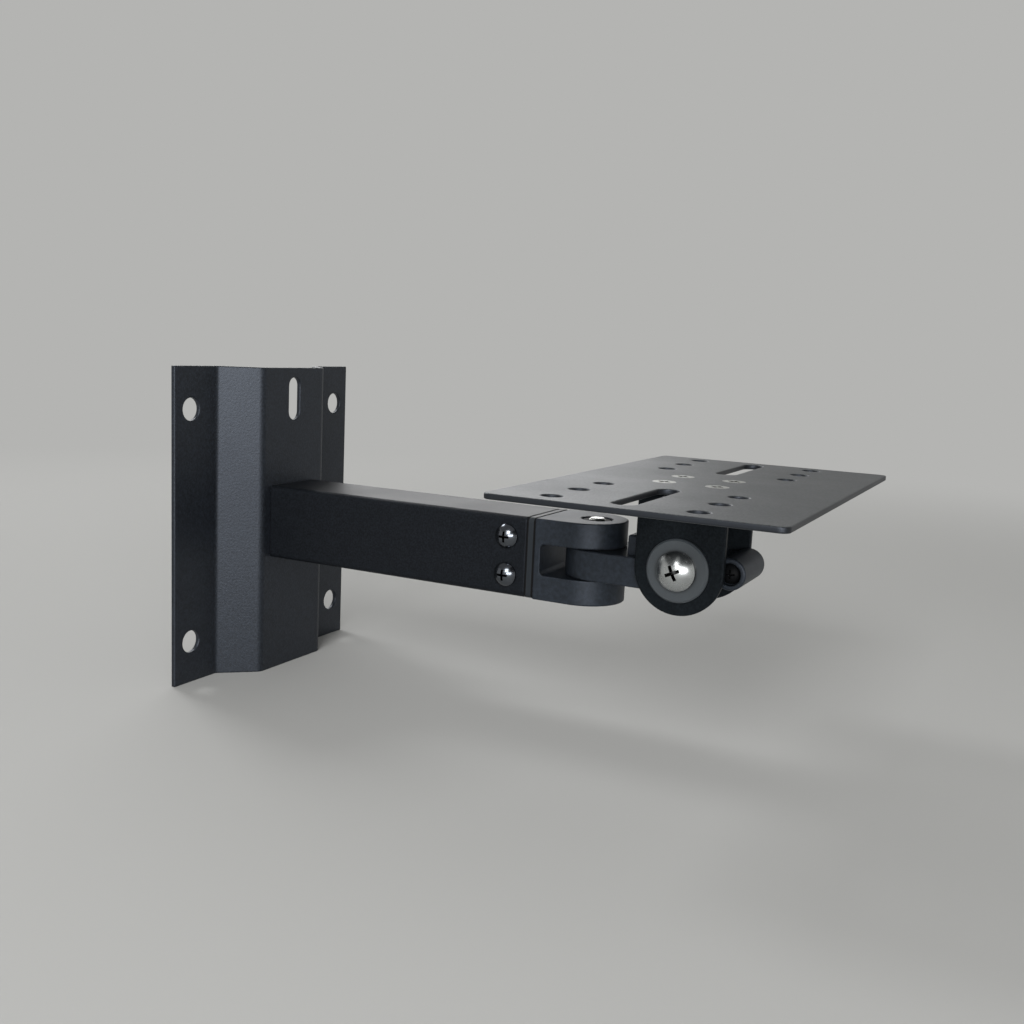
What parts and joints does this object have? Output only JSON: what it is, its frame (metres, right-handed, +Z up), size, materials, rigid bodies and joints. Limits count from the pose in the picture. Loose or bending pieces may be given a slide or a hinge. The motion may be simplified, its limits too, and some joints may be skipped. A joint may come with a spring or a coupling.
{
  "type": "speaker wall bracket",
  "caption": "Steel wall bracket for a loudspeaker: folded wall plate, square arm, and a drilled carrying plate that pans and tilts on clamped joints.",
  "frame": {"origin": "middle of the wall plate's four bolt holes, in the plane of its back against the wall", "axes": "+X out from the wall along the arm, +Y across the wall plate, +Z up"},
  "size_m": [0.3235, 0.22, 0.168],
  "materials": {
    "textured_coat": "fine-textured charcoal powder coat",
    "satin_coat": "satin charcoal powder coat",
    "plate_coat": "satin dark grey powder coat",
    "collar_plastic": "moulded black plastic",
    "black_screw": "polished black zinc",
    "zinc_bolt": "bright zinc",
    "nickel_screw": "bright nickel",
    "dark_washer": "satin dark grey",
    "nylon": "black nylon sheet"
  },
  "bodies": {
    "arm": {"wall_plate": "textured_coat", "arm_tube": "textured_coat", "tube_liner": "collar_plastic", "pivot_fork": "satin_coat", "fork_screws_front": "black_screw", "fork_screws_back": "black_screw", "pan_bolt": "zinc_bolt", "pan_nut": "black_screw", "pan_washer_upper": "black_screw", "pan_washer_lower": "black_screw", "pan_friction_upper": "nylon", "pan_friction_lower": "nylon"},
    "swivel": {"swivel_tongue": "satin_coat", "tip_screw": "black_screw", "tip_nut": "black_screw", "tilt_disc_front": "nylon", "tilt_disc_back": "nylon"},
    "head": {"tilt_yoke": "satin_coat", "tilt_screw": "nickel_screw", "tilt_washer_front": "dark_washer", "tilt_washer_back": "dark_washer", "tilt_nut": "zinc_bolt", "speaker_plate": "plate_coat", "plate_screws": "zinc_bolt", "plate_nuts": "zinc_bolt"}
  },
  "joints": [
    {"name": "pan", "type": "hinge", "parent": "arm", "child": "swivel", "pos_m": [0.206, 0, 0], "axis": [0, 0, 1], "range_deg": [-90, 90]},
    {"name": "tilt", "type": "hinge", "parent": "swivel", "child": "head", "pos_m": [0.256, 0, 0.0047], "axis": [0, 1, 0], "range_deg": [-15, 30]}
  ]
}
